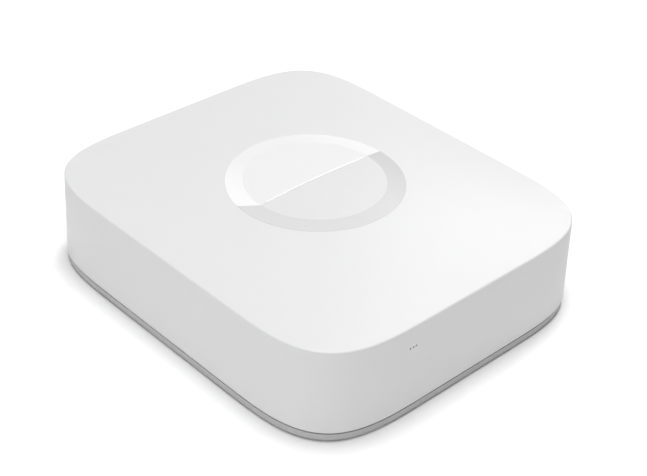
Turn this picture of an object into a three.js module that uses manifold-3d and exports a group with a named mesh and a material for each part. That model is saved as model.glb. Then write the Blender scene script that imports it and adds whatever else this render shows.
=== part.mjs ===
// A smart home hub: a white crowned shell on a grey sliding base cover, with its sockets on the back.
// Millimetres, +Z up. The front face looks towards -Y, the sockets towards +Y, and the origin lies on
// the table under the middle of the hub.

import * as THREE from "three";
import { mergeVertices } from "three/addons/utils/BufferGeometryUtils.js";
import Module from "manifold-3d";

const wasm = await Module();
wasm.setup();

// ---------------------------------------------------------------- driving dimensions

const gap = 0.3; // between pieces that would otherwise touch
const solder = 0.05; // between the board and what is soldered to it
const past = 1; // how far a cutting solid runs past the face that it cuts

const hub = {
  width: 107.6, // across the skirt of the shell, X
  depth: 124.5, // front to back across the skirt, Y
  height: 32.8, // table to the top of the crown
  skirtZ: 3.0, // lower edge of the shell
  rimZ: 28.3, // edge between the side walls and the crowned top
  draft: 0.65, // how far each side wall leans in from skirt to rim
  wall: 2.0,
  edgeRadius: 0.7,
};
const corner = { reach: 40, power: 3.86, steps: 9 }; // superellipse corners with soft ends
const crownHeight = hub.height - hub.rimZ;

const badge = {
  outer: 25.5, // outer radius of the ring on the crown
  inner: 20.3,
  recess: 0.9, // depth of the pocket that the badge pieces lie in
  thick: 0.6,
  slantDeg: 40, // the ring's left joint is cut on a slant, its right joint straight
  lineLength: 37,
  lineWidth: 0.7,
  lineProud: 0.15,
  sides: 48,
};
const indicator = { x: -22.8, z: 21.8, pitch: 1.0, holeRadius: 0.32, pinRadius: 0.2, count: 3 };

const cover = { inset: 0.3, bottomZ: 0.4, topZ: 2.4, chamfer: 0.3, travel: 12 };
const foot = { x: 35, y: 44, radius: 6, topZ: 1.1 };
const hook = { x: 45.4, thick: 1.6, reach: 2.4, length: 8, ys: [28, -16], lipZ: 5.2, topZ: 6.4 };
const grip = { count: 5, y: -30, pitch: 2.4, width: 1, halfLength: 11, taper: 2, proud: 0.25 };
const pad = { halfX: 22, ys: [-24, 12], thick: 1.2 };

const floor = { inset: 2.5, bottomZ: 3.2, topZ: 4.8 };
const rimRib = { inset: 2.8, thick: 1.2, topZ: 9, backGapHalfX: 36, backGapY: 54 };
const cell = { radius: 7.1, length: 50.5, nubRadius: 2.75, nubLength: 1.3, pitch: 15.2, z: 11.45 };
const bay = { halfX: 31.2, minY: -40.2, maxY: 18.2, topZ: 19.2, wall: 1.3, ribZ: 15, ribThick: 1 };

const tower = { x: 42, y: 47, radius: 4.4, topZ: 7, headBore: 3.1, headTopZ: 5.6, shankBore: 1.6 };
const post = { radius: 3.4, bore: 1.5, boreTopZ: 17 }; // the shell's posts that stand over the towers
const stand = { x: 37.5, ys: [-34, 30], radius: 3, bore: 1.3, boreZ: 12 }; // the board's standoffs
const board = { halfX: 46, minY: -52, maxY: 57.5, bottomZ: 21, topZ: 22.4, bore: 1.4 };
const boardNotch = { x: 37.2, y: 42.2 }; // the board's corners are cut out around the shell's posts

const contact = { thick: 0.5, clear: 0.5, halfX: 5.4, bottomZ: 5.2, topZ: 17.4, tailHalfX: 1 };
const coil = { turns: 3, perTurn: 8, length: 4.9, baseRadius: 4.2, tipRadius: 2.4, wire: 0.35, lift: 0.2 };

const antenna = { x: 48.5, thick: 0.4, ys: [-17, 13], zs: [10, 20] };
const antennaWall = { x: 47.6, thick: 1, ys: [-12, 8], topZ: 19.5 };
const coax = { plugX: 40, plugY: 23.5, plugRadius: 1.3, plugHeight: 1.85, radius: 0.55 };

const mouthY = 61.2; // front faces of the sockets, just inside the shell's back wall
const socketTopZ = board.bottomZ - 0.1;
const ethernet = { x: 8, halfX: 8, bottomZ: 7.4, backY: 40.2, sheet: 0.5 };
const usb = { x: -13, halfX: 6.6, bottomZ: 5.4, backY: 43.6, sheet: 0.5, portHeight: 5.2, portPitch: 9.3 };
const usbTongue = { halfX: 5.5, zs: [2.9, 4.75], inY: 0.8 }; // heights above its port's floor
const usbContact = { xs: [-3.5, -1, 1, 3.5], width: 1, thick: 0.2, inY: 1.6 };
const power = { x: 27, halfX: 4.5, bottomZ: 10, backY: 47, boreZ: 15.2, boreRadius: 3.2, pinRadius: 1 };
const reset = { x: -28, z: 19, holeRadius: 1.3, buttonRadius: 0.9, faceY: 60.6, rootY: 55.4, travel: 0.5 };

const chassisScrew = { head: 2.6, headHeight: 1.8, shank: 1.15, length: 9.5 };
const boardScrew = { head: 2.3, headHeight: 1.5, shank: 0.95, length: 8 };

// ---------------------------------------------------------------- solids from three.js geometry

// A three.js geometry as a manifold-3d solid.
function solid(geometry) {
  const bare = geometry.clone();
  const extras = Object.keys(bare.attributes).filter((name) => name !== "position");
  extras.forEach((name) => bare.deleteAttribute(name));
  const merged = mergeVertices(bare, 1e-4);
  return new wasm.Manifold(
    new wasm.Mesh({
      numProp: 3,
      vertProperties: new Float32Array(merged.attributes.position.array),
      triVerts: new Uint32Array(merged.index.array),
    }),
  );
}

// A manifold-3d solid as a three.js geometry.
function geometryOf(made) {
  const mesh = made.getMesh();
  const geometry = new THREE.BufferGeometry();
  geometry.setAttribute("position", new THREE.BufferAttribute(new Float32Array(mesh.vertProperties), 3));
  geometry.setIndex(new THREE.BufferAttribute(new Uint32Array(mesh.triVerts), 1));
  geometry.computeVertexNormals();
  return geometry;
}

const join = (first, ...others) => others.reduce((all, one) => all.add(one), first);
const cut = (first, ...others) => others.reduce((all, one) => all.subtract(one), first);

// A box between two values along each axis, given in either order.
function block(xs, ys, zs) {
  const ranges = [xs, ys, zs];
  const size = ranges.map(([from, to]) => Math.abs(to - from));
  const middle = ranges.map(([from, to]) => (from + to) / 2);
  return solid(new THREE.BoxGeometry(...size).translate(...middle));
}

const around = (middle, size) => [middle - size / 2, middle + size / 2];
const onSide = (side, values) => values.map((value) => side * value);

// An upright round bar.
function rodZ(radius, [x, y], [z0, z1], sides = 20) {
  const bar = new THREE.CylinderGeometry(radius, radius, z1 - z0, sides).rotateX(Math.PI / 2);
  return solid(bar.translate(x, y, (z0 + z1) / 2));
}

// A round bar lying front to back.
function rodY(radius, [x, z], [y0, y1], sides = 20) {
  const bar = new THREE.CylinderGeometry(radius, radius, y1 - y0, sides);
  return solid(bar.translate(x, (y0 + y1) / 2, z));
}

// A flat shape drawn in X and Y, extruded upwards.
function slab(shape, [z0, z1]) {
  const plate = new THREE.ExtrudeGeometry(shape, { depth: z1 - z0, bevelEnabled: false });
  return solid(plate.translate(0, 0, z0));
}

// A profile drawn in Y and Z, extruded along X.
function prismX(profile, [x0, x1]) {
  const shape = new THREE.Shape(profile.map(([y, z]) => new THREE.Vector2(y, z)));
  const bar = new THREE.ExtrudeGeometry(shape, { depth: x1 - x0, bevelEnabled: false });
  const turn = new THREE.Matrix4().makeBasis(
    new THREE.Vector3(0, 1, 0),
    new THREE.Vector3(0, 0, 1),
    new THREE.Vector3(1, 0, 0),
  );
  return solid(bar.applyMatrix4(turn).translate(x0, 0, 0));
}

// A turned body about the Y axis, from a profile of radius and distance along the axis.
function turned(profile, sides = 16) {
  return new THREE.LatheGeometry(profile.map(([radius, along]) => new THREE.Vector2(radius, along)), sides);
}

// A round wire along a curve, closed at both ends.
function wire(points, radius, steps, sides = 6) {
  const circle = new THREE.Shape();
  circle.absarc(0, 0, radius, 0, 2 * Math.PI);
  const section = new THREE.Shape(circle.getSpacedPoints(sides).slice(0, sides));
  const extrudePath = new THREE.CatmullRomCurve3(points.map((point) => new THREE.Vector3(...point)));
  return solid(new THREE.ExtrudeGeometry(section, { steps, extrudePath, bevelEnabled: false }));
}

// ---------------------------------------------------------------- the hub's outline and crown

// The rounded rectangle of the hub, drawn in by inset on every side, as points that run anticlockwise.
function outline(inset) {
  const halfX = hub.width / 2 - inset;
  const halfY = hub.depth / 2 - inset;
  const reach = corner.reach - inset;
  const points = [];
  for (let quarter = 0; quarter < 4; quarter++) {
    const signX = quarter === 0 || quarter === 3 ? 1 : -1;
    const signY = quarter < 2 ? 1 : -1;
    for (let step = 0; step <= corner.steps; step++) {
      const share = quarter % 2 === 0 ? step / corner.steps : 1 - step / corner.steps;
      const angle = (share * Math.PI) / 2;
      const x = halfX - reach + reach * Math.cos(angle) ** (2 / corner.power);
      const y = halfY - reach + reach * Math.sin(angle) ** (2 / corner.power);
      points.push([signX * x, signY * y]);
    }
  }
  return points;
}

const outlineShape = (inset) => new THREE.Shape(outline(inset).map(([x, y]) => new THREE.Vector2(x, y)));

// Height of the crowned top above the rim.
function crown(x, y) {
  const u = x / (hub.width / 2 - hub.draft);
  const v = y / (hub.depth / 2 - hub.draft);
  return crownHeight * Math.max(0, 1 - u * u) * Math.max(0, 1 - v * v);
}

// A closed body through a stack of rings, from the lowest up, with a fan to a middle point at each end.
function loft(rings, bottomZ, topZ) {
  const count = rings[0].length;
  const positions = rings.flat(2);
  const bottom = rings.length * count;
  const top = bottom + 1;
  positions.push(0, 0, bottomZ, 0, 0, topZ);
  const faces = [];
  for (let k = 0; k < count; k++) {
    const next = (k + 1) % count;
    faces.push(bottom, next, k);
    faces.push(top, (rings.length - 1) * count + k, (rings.length - 1) * count + next);
    for (let ring = 0; ring + 1 < rings.length; ring++) {
      const low = ring * count;
      const high = low + count;
      faces.push(low + k, low + next, high + next, low + k, high + next, high + k);
    }
  }
  const geometry = new THREE.BufferGeometry();
  geometry.setAttribute("position", new THREE.Float32BufferAttribute(positions, 3));
  geometry.setIndex(faces);
  return solid(geometry);
}

// The hub's outer form, with its walls drawn in by inset and its crown lowered by drop.
function form(inset, drop, bottomZ = hub.skirtZ) {
  const edgeInset = hub.draft + inset;
  const radius = hub.edgeRadius;
  const level = (ringInset, z) => outline(ringInset).map(([x, y]) => [x, y, z(x, y)]);
  const rings = [level(inset, () => bottomZ)];
  for (const degrees of [0, 45, 90]) {
    const angle = THREE.MathUtils.degToRad(degrees);
    const edge = (x, y) => hub.rimZ - drop - radius * (1 - Math.sin(angle)) + crown(x, y);
    rings.push(level(edgeInset + radius * (1 - Math.cos(angle)), edge));
  }
  const top = outline(edgeInset + radius);
  for (const share of [0.82, 0.6, 0.35]) {
    const inner = top.map(([x, y]) => [x * share, y * share]);
    rings.push(inner.map(([x, y]) => [x, y, hub.rimZ - drop + crown(x, y)]));
  }
  return loft(rings, bottomZ, hub.height - drop);
}

// ---------------------------------------------------------------- materials

const material = (color, roughness, metalness = 0) =>
  new THREE.MeshStandardMaterial({ color, roughness, metalness });

const finish = {
  shell: material(0xf1f1f1, 0.38),
  ringBright: material(0xfafafa, 0.15),
  ringShaded: material(0xdcdcdc, 0.3),
  badgeDisc: material(0xeeeeee, 0.28),
  badgeLine: material(0xffffff, 0.2),
  cover: material(0xc6c7c8, 0.6),
  rubber: material(0x6f7072, 0.85),
  foam: material(0x3c3c3e, 0.95),
  chassis: material(0xd5d6d7, 0.5),
  cellWrap: material(0x37474f, 0.35),
  springSteel: material(0xb9bcc0, 0.3, 1),
  board: material(0x1d5a38, 0.45),
  shield: material(0xc3c5c8, 0.35, 1),
  blackPlastic: material(0x1c1c1e, 0.5),
  gold: material(0xd8b25a, 0.25, 1),
  chip: material(0x26262a, 0.55),
  aluminium: material(0xc9ccd0, 0.35, 1),
  clear: material(0xe9f1f5, 0.1),
  light: material(0xfff6d0, 0.3),
  button: material(0xb3261e, 0.4),
  coax: material(0x2b2b2d, 0.5),
  screw: material(0x8f9296, 0.3, 1),
};

const root = new THREE.Group();

function add(name, made, look) {
  const mesh = new THREE.Mesh(made.isBufferGeometry ? made : geometryOf(made), look.clone());
  mesh.name = name;
  root.add(mesh);
  return mesh;
}

// ---------------------------------------------------------------- shell

const sides = [-1, 1];
const corners = sides.flatMap((sideX) => sides.map((sideY) => [sideX, sideY]));

const towerPlaces = corners.map(([sideX, sideY]) => [sideX * tower.x, sideY * tower.y]);
const standPlaces = sides.flatMap((side) => stand.ys.map((y) => [side * stand.x, y]));
const footPlaces = corners.map(([sideX, sideY]) => [sideX * foot.x, sideY * foot.y]);

const indicatorXs = [...Array(indicator.count).keys()].map(
  (k) => indicator.x + (k - (indicator.count - 1) / 2) * indicator.pitch,
);

// The openings that the sockets and the reset pin reach through in the back wall.
function backOpenings() {
  const through = [hub.depth / 2 - hub.wall - hub.draft - past, hub.depth / 2 + past];
  const openings = [ethernet, usb, power].map(({ x, halfX, bottomZ }) =>
    block([x - halfX - gap, x + halfX + gap], through, [bottomZ - gap, socketTopZ + gap]),
  );
  return [...openings, rodY(reset.holeRadius, [reset.x, reset.z], through, 16)];
}

function indicatorHoles() {
  const through = [-hub.depth / 2 - past, -hub.depth / 2 + hub.wall + hub.draft + past];
  return indicatorXs.map((x) => rodY(indicator.holeRadius, [x, indicator.z], through, 8));
}

function makeShell() {
  const above = [hub.rimZ, hub.height + past];
  const hollow = form(hub.wall, hub.wall, hub.skirtZ - past);
  const pocket = cut(rodZ(badge.outer, [0, 0], above, badge.sides), form(0, badge.recess));
  let shell = cut(form(0, 0), hollow, pocket);
  for (const place of towerPlaces) {
    const standing = rodZ(post.radius, place, [tower.topZ + gap, hub.rimZ], 16);
    shell = join(shell, standing.intersect(form(hub.wall / 2, hub.wall / 2)));
    shell = cut(shell, rodZ(post.bore, place, [tower.topZ - past, post.boreTopZ], 12));
  }
  add("top_shell", cut(shell, ...backOpenings(), ...indicatorHoles()), finish.shell);
}

// ---------------------------------------------------------------- badge

// The part of the crown's surface layer that lies inside an upright solid.
function crownInlay(footprint) {
  return cut(footprint.intersect(form(0, 0)), form(0, badge.thick));
}

// The area behind the ring's joints: on the right it starts on the X axis, on the left on the slant.
function behindJoints(offset) {
  const far = hub.width / 2;
  const slant = Math.tan(THREE.MathUtils.degToRad(badge.slantDeg));
  return new THREE.Shape([
    new THREE.Vector2(-badge.inner, offset),
    new THREE.Vector2(far, offset),
    new THREE.Vector2(far, far),
    new THREE.Vector2(-far, far),
    new THREE.Vector2(-far, offset + (far - badge.inner) * slant),
  ]);
}

function makeBadge() {
  const above = [hub.rimZ, hub.height + past];
  const round = (radius) => rodZ(radius, [0, 0], above, badge.sides);
  const ring = cut(round(badge.outer - gap), round(badge.inner));
  const back = ring.intersect(slab(behindJoints(gap / 2), above));
  const front = cut(ring, slab(behindJoints(-gap / 2), above));
  add("badge_ring_back", crownInlay(back), finish.ringBright);
  add("badge_ring_front", crownInlay(front), finish.ringShaded);

  // The line lies half its height deep in a groove of the disc.
  const strip = (slack) =>
    block(around(0, badge.lineLength + 2 * slack), around(0, badge.lineWidth + 2 * slack), above);
  const groove = cut(strip(gap), form(0, badge.thick / 2));
  add("badge_disc", crownInlay(cut(round(badge.inner - gap), groove)), finish.badgeDisc);
  const line = cut(strip(0).intersect(form(0, -badge.lineProud)), form(0, badge.thick / 2 - gap / 2));
  add("badge_line", line, finish.badgeLine);
}

// ---------------------------------------------------------------- base cover

// A hook of the cover: a stem that stands up through the floor and a lip that reaches inwards over it.
function coverHook(side, y) {
  const stemXs = around(hook.x, hook.thick);
  const lipXs = [stemXs[0] - hook.reach, stemXs[1]];
  const ys = around(y, hook.length);
  return join(
    block(onSide(side, stemXs), ys, [cover.topZ - cover.chamfer, hook.topZ]),
    block(onSide(side, lipXs), ys, [hook.lipZ, hook.topZ]),
  );
}

function makeCover() {
  const level = (inset, z) => outline(inset).map(([x, y]) => [x, y, z]);
  const rings = [
    level(cover.inset + cover.chamfer, cover.bottomZ),
    level(cover.inset, cover.bottomZ + cover.chamfer),
    level(cover.inset, cover.topZ),
  ];
  let plate = loft(rings, cover.bottomZ, cover.topZ);
  for (const place of footPlaces) {
    plate = cut(plate, rodZ(foot.radius + gap, place, [0, foot.topZ + gap / 2], 24));
  }
  for (const side of sides) {
    for (const y of hook.ys) plate = join(plate, coverHook(side, y));
  }
  // Grip bars for the thumbs, on the underside in front of the middle.
  for (let k = 0; k < grip.count; k++) {
    const y = grip.y + k * grip.pitch;
    const halfLength = grip.halfLength - k * grip.taper;
    const bar = block([-halfLength, halfLength], [y, y + grip.width],
      [cover.bottomZ - grip.proud, cover.bottomZ + grip.proud]);
    plate = join(plate, bar);
  }
  add("base_cover", plate, finish.cover);

  footPlaces.forEach((place, k) => {
    add(`rubber_foot_${k + 1}`, rodZ(foot.radius, place, [0, foot.topZ], 24), finish.rubber);
  });
  const padZ = cover.topZ + gap / 3;
  add("battery_pad", block([-pad.halfX, pad.halfX], pad.ys, [padZ, padZ + pad.thick]), finish.foam);
}

// ---------------------------------------------------------------- chassis

// The opening in the floor for one hook: narrow where the lip holds, wide where it can drop out.
function hookSlot(side, y) {
  const slack = 0.4;
  const stemXs = [hook.x - hook.thick / 2 - gap, hook.x + hook.thick / 2 + gap];
  const lipXs = [stemXs[0] - hook.reach, stemXs[1]];
  const backY = y + hook.length / 2 + slack;
  const frontY = y - hook.length / 2 - slack - cover.travel;
  const through = [floor.bottomZ - past, floor.topZ + gap];
  return join(
    block(onSide(side, stemXs), [frontY, backY], through),
    block(onSide(side, lipXs), [frontY, frontY + hook.length + 2 * slack], through),
  );
}

// The floor with the rib around its rim, open at the back where the sockets are.
function chassisFloor() {
  const root = floor.topZ - 0.5;
  const ring = cut(
    slab(outlineShape(rimRib.inset), [root, rimRib.topZ]),
    slab(outlineShape(rimRib.inset + rimRib.thick), [root - past, rimRib.topZ + past]),
    block([-rimRib.backGapHalfX, rimRib.backGapHalfX], [rimRib.backGapY, hub.depth / 2],
      [floor.topZ, rimRib.topZ + past]),
  );
  return join(slab(outlineShape(floor.inset), [floor.bottomZ, floor.topZ]), ring);
}

function makeChassis() {
  const root = floor.topZ - 0.5;
  const bayXs = [-bay.halfX, bay.halfX];
  const bayYs = [bay.minY, bay.maxY];
  const wider = ([from, to], by) => [from - by, to + by];
  let chassis = join(chassisFloor(),
    block(wider(bayXs, bay.wall), wider(bayYs, bay.wall), [root, bay.topZ + bay.wall]));
  chassis = cut(chassis, block(bayXs, bayYs, [floor.bottomZ - past, bay.topZ]));
  chassis = cut(chassis, contactTail(0, gap), contactTail(3, gap));
  // Ribs between the cells, hanging from the bay's ceiling.
  for (const k of [-1, 0, 1]) {
    const xs = around(k * cell.pitch, bay.ribThick);
    chassis = join(chassis, block(xs, wider(bayYs, -6), [bay.ribZ, bay.topZ + bay.wall / 2]));
  }
  for (const place of standPlaces) {
    chassis = join(chassis, rodZ(stand.radius, place, [root, socketTopZ], 16));
    chassis = cut(chassis, rodZ(stand.bore, place, [stand.boreZ, board.topZ], 12));
  }
  for (const place of towerPlaces) {
    chassis = join(chassis, rodZ(tower.radius, place, [root, tower.topZ]));
    chassis = cut(chassis, rodZ(tower.headBore, place, [floor.bottomZ - past, tower.headTopZ]),
      rodZ(tower.shankBore, place, [root, tower.topZ + past], 12));
  }
  for (const side of sides) {
    const wallXs = around(antennaWall.x, antennaWall.thick);
    chassis = join(chassis, block(onSide(side, wallXs), antennaWall.ys, [root, antennaWall.topZ]));
    for (const y of hook.ys) chassis = cut(chassis, hookSlot(side, y));
  }
  add("chassis", chassis, finish.chassis);
}

// ---------------------------------------------------------------- cells and their contacts

const cellX = (k) => (k - 1.5) * cell.pitch;
const plateY = { front: bay.minY + gap, back: bay.maxY - gap }; // the contacts' outer faces in the bay

// Neighbouring cells lie head to tail: the first and third have their nub at the back.
function makeCells() {
  const body = cell.length - cell.nubLength;
  const profile = [
    [0, 0],
    [cell.radius - 0.5, 0],
    [cell.radius, 0.5],
    [cell.radius, body - 0.8],
    [cell.radius - 0.8, body],
    [cell.nubRadius, body],
    [cell.nubRadius, cell.length - 0.2],
    [cell.nubRadius - 0.2, cell.length],
    [0, cell.length],
  ];
  const reach = contact.thick + contact.clear + cell.length;
  for (let k = 0; k < 4; k++) {
    const mesh = add(`battery_cell_${k + 1}`, turned(profile, 24), finish.cellWrap);
    const nubAtBack = k % 2 === 0;
    mesh.position.set(cellX(k), nubAtBack ? plateY.back - reach : plateY.front + reach, cell.z);
    mesh.rotation.z = nubAtBack ? 0 : Math.PI;
  }
}

// A contact plate behind the cells from first to last, at the front or the back end of the bay.
function contactPlate(first, last, end) {
  const y = end === "front" ? plateY.front : plateY.back - contact.thick;
  const xs = [cellX(first) - contact.halfX, cellX(last) + contact.halfX];
  return block(xs, [y, y + contact.thick], [contact.bottomZ, contact.topZ]);
}

// The conical spring that presses on a cell's flat end.
function contactSpring(k, end) {
  const baseY = end === "front" ? plateY.front + contact.thick : plateY.back - contact.thick;
  const towardsCell = end === "front" ? 1 : -1;
  const steps = coil.turns * coil.perTurn;
  const points = [...Array(steps + 1).keys()].map((step) => {
    const share = step / steps;
    const angle = share * coil.turns * 2 * Math.PI;
    const radius = THREE.MathUtils.lerp(coil.baseRadius, coil.tipRadius, share);
    return [
      cellX(k) + radius * Math.cos(angle),
      baseY + towardsCell * (coil.lift + share * coil.length),
      cell.z + radius * Math.sin(angle),
    ];
  });
  return wire(points, coil.wire, steps, 5);
}

// The strip that stands up from an end contact, through the bay's ceiling, to the underside of the board.
function contactTail(k, slack = 0) {
  const ys = [plateY.back - contact.thick - slack, plateY.back + slack];
  const zs = [contact.topZ - contact.thick - slack, socketTopZ + slack];
  return block(around(cellX(k), 2 * (contact.tailHalfX + slack)), ys, zs);
}

function makeContacts() {
  const positive = join(contactPlate(0, 0, "back"), contactTail(0));
  const negative = join(contactPlate(3, 3, "back"), contactTail(3), contactSpring(3, "back"));
  add("contact_positive", positive, finish.springSteel);
  add("contact_negative", negative, finish.springSteel);
  ["front", "back", "front"].forEach((end, k) => {
    const link = join(contactPlate(k, k + 1, end), contactSpring(k, end));
    add(`contact_link_${k + 1}`, link, finish.springSteel);
  });
}

// ---------------------------------------------------------------- board and what is soldered to it

// A block that stands on top of the board, given by its middle and its size.
function onBoard([x, y], [width, depth, height], lift = solder) {
  const z = board.topZ + lift;
  return block(around(x, width), around(y, depth), [z, z + height]);
}

function makeBoard() {
  let plate = block([-board.halfX, board.halfX], [board.minY, board.maxY], [board.bottomZ, board.topZ]);
  const through = [board.bottomZ - past, board.topZ + past];
  for (const [sideX, sideY] of corners) {
    const xs = onSide(sideX, [boardNotch.x, hub.width]);
    const ys = onSide(sideY, [boardNotch.y, hub.depth]);
    plate = cut(plate, block(xs, ys, through));
  }
  for (const place of standPlaces) plate = cut(plate, rodZ(board.bore, place, through, 16));
  add("main_board", plate, finish.board);
}

function makeCoolingStack() {
  const place = [0, -12];
  const chipHeight = 1.4;
  const padHeight = 0.5;
  const plateHeight = 1.2;
  const step = 0.1;
  const padLift = chipHeight + step;
  const plateLift = padLift + padHeight + solder;
  const fin = { count: 7, pitch: 5, thick: 1.2, length: 34, height: 2 };
  add("processor", onBoard(place, [15, 15, chipHeight]), finish.chip);
  add("thermal_pad", onBoard(place, [14, 14, padHeight], padLift), finish.rubber);
  let spreader = onBoard(place, [36, 36, plateHeight], plateLift);
  for (let k = 0; k < fin.count; k++) {
    const x = place[0] + (k - (fin.count - 1) / 2) * fin.pitch;
    const finSize = [fin.thick, fin.length, plateHeight + fin.height];
    spreader = join(spreader, onBoard([x, place[1]], finSize, plateLift));
  }
  add("heat_spreader", spreader, finish.aluminium);
}

function makeChips() {
  add("memory_chip", onBoard([25.5, -14], [11, 13, 1]), finish.chip);
  add("flash_chip", onBoard([-25.5, -14], [12, 14, 1]), finish.chip);
  add("ethernet_magnetics", onBoard([ethernet.x, 30], [15, 13, 3.6]), finish.chip);
  add("clock_crystal", onBoard([-4, 14], [5, 3.2, 1.2]), finish.shield);
  const coilPlace = [30, 44];
  const coilHole = rodZ(1.6, coilPlace, [board.topZ + 2.6, board.topZ + 3 + past], 12);
  add("power_inductor", cut(onBoard(coilPlace, [7, 7, 3]), coilHole), finish.chip);
  [21.5, 29.5].forEach((x, k) => {
    const can = rodZ(3.15, [x, 31], [board.topZ + 0.5, board.topZ + 5]);
    add(`capacitor_${k + 1}`, join(onBoard([x, 31], [6.6, 6.6, 1]), can), finish.aluminium);
  });
}

// A pressed metal can over a radio, open below, with slots along its front and back edges.
function makeRadioShield(sideName, side) {
  const can = { x: 32, y: 11, width: 20, depth: 18, height: 2.55, sheet: 0.4 };
  const place = [side * can.x, can.y];
  const outside = onBoard(place, [can.width, can.depth, can.height]);
  const room = [can.width - 2 * can.sheet, can.depth - 2 * can.sheet, can.height - can.sheet + past];
  const inside = onBoard(place, room, solder - past);
  const slots = [-5, 0, 5].map((dx) =>
    onBoard([place[0] + dx, can.y], [3, can.depth + past, 0.6 + past], solder - past),
  );
  add(`radio_shield_${sideName}`, cut(outside, inside, ...slots), finish.shield);
}

// An antenna plate on the outside of its wall, with its folded slots.
function makeAntenna(sideName, side) {
  const plateXs = [antenna.x, antenna.x + antenna.thick];
  const cutXs = [antenna.x - past, antenna.x + antenna.thick + past];
  const plate = block(onSide(side, plateXs), antenna.ys, antenna.zs);
  const longSlot = block(onSide(side, cutXs), [-13, 10], [13, 14.5]);
  const shortSlot = block(onSide(side, cutXs), [-13, -11.5], [13, antenna.zs[1] + past]);
  add(`antenna_${sideName}`, cut(plate, longSlot, shortSlot), finish.gold);
}

// The thin coaxial lead from its plug on the board, over the board's edge and down to the antenna.
function makeCoax(sideName, side) {
  const top = board.topZ + solder + coax.plugHeight;
  const route = [
    [coax.plugX, coax.plugY, top - 0.5],
    [42.5, 24.2, top - 0.3],
    [46, 24, top - 0.5],
    [48.6, 21, top - 2.3],
    [49.7, 16, 19.5],
    [49.9, 11, 18],
  ];
  const place = [side * coax.plugX, coax.plugY];
  const plug = rodZ(coax.plugRadius, place, [board.topZ + solder, top], 12);
  const lead = wire(route.map(([x, y, z]) => [side * x, y, z]), coax.radius, 20);
  add(`coax_${sideName}`, join(plug, lead), finish.coax);
}

// ---------------------------------------------------------------- sockets on the back

function makeEthernetJack() {
  const { x, halfX, bottomZ, backY, sheet } = ethernet;
  const inner = (skin, toY) =>
    block(around(x, 2 * (halfX - skin)), [backY + skin, toY], [bottomZ + skin, socketTopZ - skin]);
  add("ethernet_shield", cut(inner(0, mouthY), inner(sheet, mouthY + past)), finish.shield);

  const plugRoom = block(around(x, 11.8), [46, mouthY + past], [10.2, 17.2]);
  const latchRoom = block(around(x, 6.4), [48, mouthY + past], [8.7, 10.5]);
  const wireRoom = block(around(x, 9.4), [45.5, 58.5], [17, 18.9]);
  const moulding = cut(inner(sheet + gap, mouthY - 0.2), plugRoom, latchRoom, wireRoom);
  add("ethernet_socket", moulding, finish.blackPlastic);

  // Eight wires run forwards over the plug's room and bend back down into it.
  const bent = [[48, 18.2], [57.6, 18.2], [57.6, 17.6], [50.2, 15.2], [50.2, 15.7], [56, 17.7], [48, 17.7]];
  let comb = block(around(x, 8.4), [46, 48.5], [17.5, 18.6]);
  for (let k = 0; k < 8; k++) {
    comb = join(comb, prismX(bent, around(x + (k - 3.5) * 1.02, 0.4)));
  }
  add("ethernet_contacts", comb, finish.gold);
}

// The four strips under a tongue, joined by a bar at the back.
function usbComb(topZ) {
  const zs = [topZ - usbContact.thick, topZ];
  const barY = usb.backY + 5 + gap;
  const strips = usbContact.xs.map((dx) =>
    block(around(usb.x + dx, usbContact.width), [barY, mouthY - usbContact.inY], zs),
  );
  return join(block(around(usb.x, 9), [barY, barY + 1], zs), ...strips);
}

function makeUsbStack() {
  const { x, halfX, bottomZ, backY, sheet, portHeight } = usb;
  let shield = block(around(x, 2 * halfX), [backY, mouthY], [bottomZ, socketTopZ]);
  ["lower", "upper"].forEach((level, k) => {
    const z = bottomZ + sheet + k * usb.portPitch;
    const port = block(around(x, 2 * (halfX - sheet)), [backY + past, mouthY + past], [z, z + portHeight]);
    shield = cut(shield, port);
    const backYs = [backY + past + gap, backY + 5];
    const backBlock = block(around(x, 11.6), backYs, [z + gap, z + portHeight - gap]);
    const tongueZs = usbTongue.zs.map((height) => z + height);
    const tongue = block(around(x, 2 * usbTongue.halfX), [backY + 4, mouthY - usbTongue.inY], tongueZs);
    add(`usb_tongue_${level}`, join(backBlock, tongue), finish.blackPlastic);
    add(`usb_contacts_${level}`, usbComb(tongueZs[0] - solder), finish.gold);
  });
  add("usb_shield", shield, finish.shield);
}

function makePowerJack() {
  const { x, halfX, bottomZ, backY, boreZ, boreRadius, pinRadius } = power;
  const body = block(around(x, 2 * halfX), [backY, mouthY], [bottomZ, socketTopZ]);
  const bore = rodY(boreRadius, [x, boreZ], [backY + 4, mouthY + past], 24);
  const pinHole = rodY(pinRadius + gap, [x, boreZ], [backY + 2, backY + 5], 16);
  add("power_socket", cut(body, bore, pinHole), finish.blackPlastic);
  const profile = [[0, 0], [pinRadius, 0], [pinRadius, 10.6], [pinRadius * 0.7, 11.2], [0, 11.4]];
  const pin = add("power_pin", turned(profile), finish.gold);
  pin.position.set(x, backY + 2 + gap, boreZ);
}

function makeResetSwitch() {
  const { x, z, buttonRadius, faceY, rootY, travel } = reset;
  const body = block(around(x, 6), [rootY - 2, rootY + 1.6], [z - 1.9, socketTopZ]);
  const hole = rodY(buttonRadius + gap, [x, z], [rootY - travel - gap, rootY + 1.6 + past], 16);
  add("reset_switch", cut(body, hole), finish.blackPlastic);
  const length = faceY - rootY;
  const bevel = 0.2;
  const profile = [
    [0, 0],
    [buttonRadius, 0],
    [buttonRadius, length - bevel],
    [buttonRadius - bevel, length],
    [0, length],
  ];
  const button = add("reset_button", turned(profile), finish.button);
  button.position.set(x, rootY, z);
}

// ---------------------------------------------------------------- front indicator

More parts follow.
